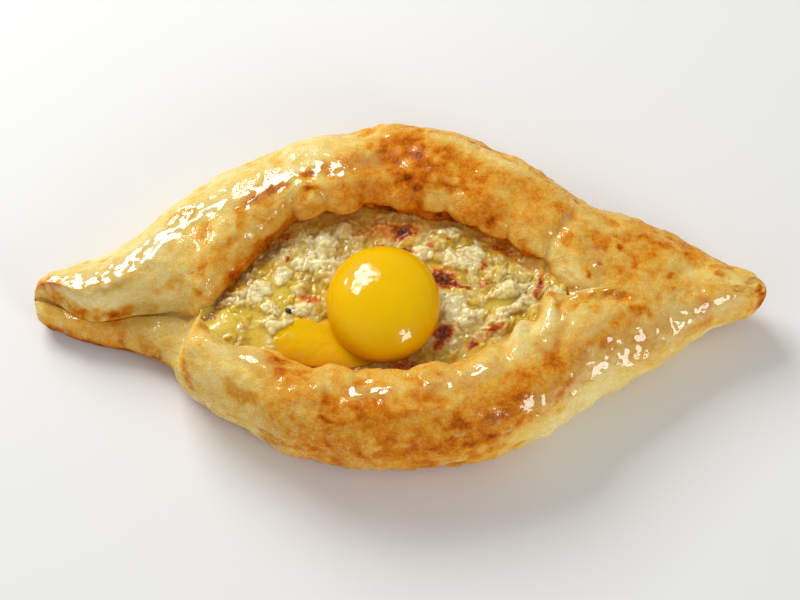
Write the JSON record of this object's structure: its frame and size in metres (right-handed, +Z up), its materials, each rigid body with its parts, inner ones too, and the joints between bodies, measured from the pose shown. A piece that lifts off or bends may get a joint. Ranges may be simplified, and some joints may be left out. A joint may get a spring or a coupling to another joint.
{
  "type": "khachapuri",
  "caption": "Boat-shaped baked cheese bread: two glazed dough rolls folded into pointed tips round a filling of curd cheese with an egg yolk.",
  "frame": {"origin": "middle of the bread's bounding box, on the flat underside that it lies on", "axes": "+X along the bread towards the tip where both rolls merge in one mound, +Y across it, +Z up"},
  "size_m": [0.258, 0.13, 0.042],
  "materials": {
    "baked_dough": "baked golden crust with a patchy butter glaze",
    "curd_cheese": "soft moist curds with brown scorched spots",
    "egg_yolk": "smooth wet membrane",
    "runny_yolk": "wet film of liquid yolk"
  },
  "bodies": {
    "root": {"crust": "baked_dough", "cheese": "curd_cheese", "yolk": "egg_yolk", "spilled_yolk": "runny_yolk"}
  },
  "joints": []
}
